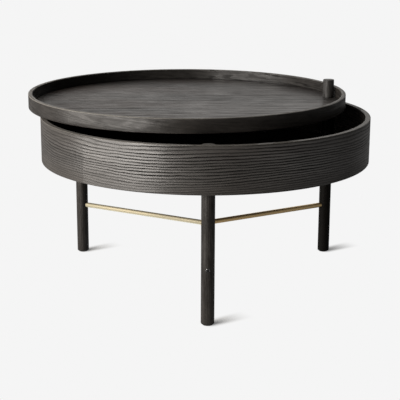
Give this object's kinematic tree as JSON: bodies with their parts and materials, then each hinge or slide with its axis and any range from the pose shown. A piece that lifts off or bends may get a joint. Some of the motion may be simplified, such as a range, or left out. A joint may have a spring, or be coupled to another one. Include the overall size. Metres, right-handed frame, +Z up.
{
  "type": "swivel coffee table",
  "caption": "Round storage drum on turned legs braced by thin brass rods, covered by a shallow round tray that swings aside about one leg.",
  "frame": {"origin": "on the floor, below the axis of the drum", "axes": "+Z up; +X to the right and +Y away from the viewer, with the front leg at -Y and the pivot leg at the right and back"},
  "size_m": [0.686, 0.7488, 0.3768],
  "materials": {
    "black_ash": "black stained ash under a thin matt lacquer",
    "brass": "plain drawn brass, lightly polished",
    "screw_steel": "dark plated steel",
    "spindle_steel": "bright steel",
    "bush_plastic": "black nylon",
    "felt": "black felt"
  },
  "bodies": {
    "base": {"drum_wall": "black_ash", "drum_bottom": "black_ash", "front_leg": "black_ash", "left_leg": "black_ash", "pivot_leg": "black_ash", "front_foot_pad": "felt", "left_foot_pad": "felt", "pivot_foot_pad": "felt", "front_rod": "brass", "left_rod": "brass", "pivot_rod": "brass", "rod_hub": "brass", "front_rod_screw": "screw_steel", "left_rod_screw": "screw_steel", "pivot_rod_screw": "screw_steel", "front_leg_lower_screw": "screw_steel", "front_leg_upper_screw": "screw_steel", "left_leg_lower_screw": "screw_steel", "left_leg_upper_screw": "screw_steel", "pivot_leg_lower_screw": "screw_steel", "pivot_leg_upper_screw": "screw_steel", "leg_insert": "brass", "pivot_spindle": "spindle_steel", "thrust_washer": "bush_plastic", "top_washer": "bush_plastic", "knob": "black_ash", "knob_insert": "brass"},
    "tray": {"tray_rim": "black_ash", "tray_floor": "black_ash", "pivot_bush": "bush_plastic"}
  },
  "joints": [
    {"name": "tray_swivel", "type": "hinge", "parent": "base", "child": "tray", "pos_m": [0.26249, 0.15155, 0.333], "axis": [0, 0, 1], "continuous": true}
  ]
}
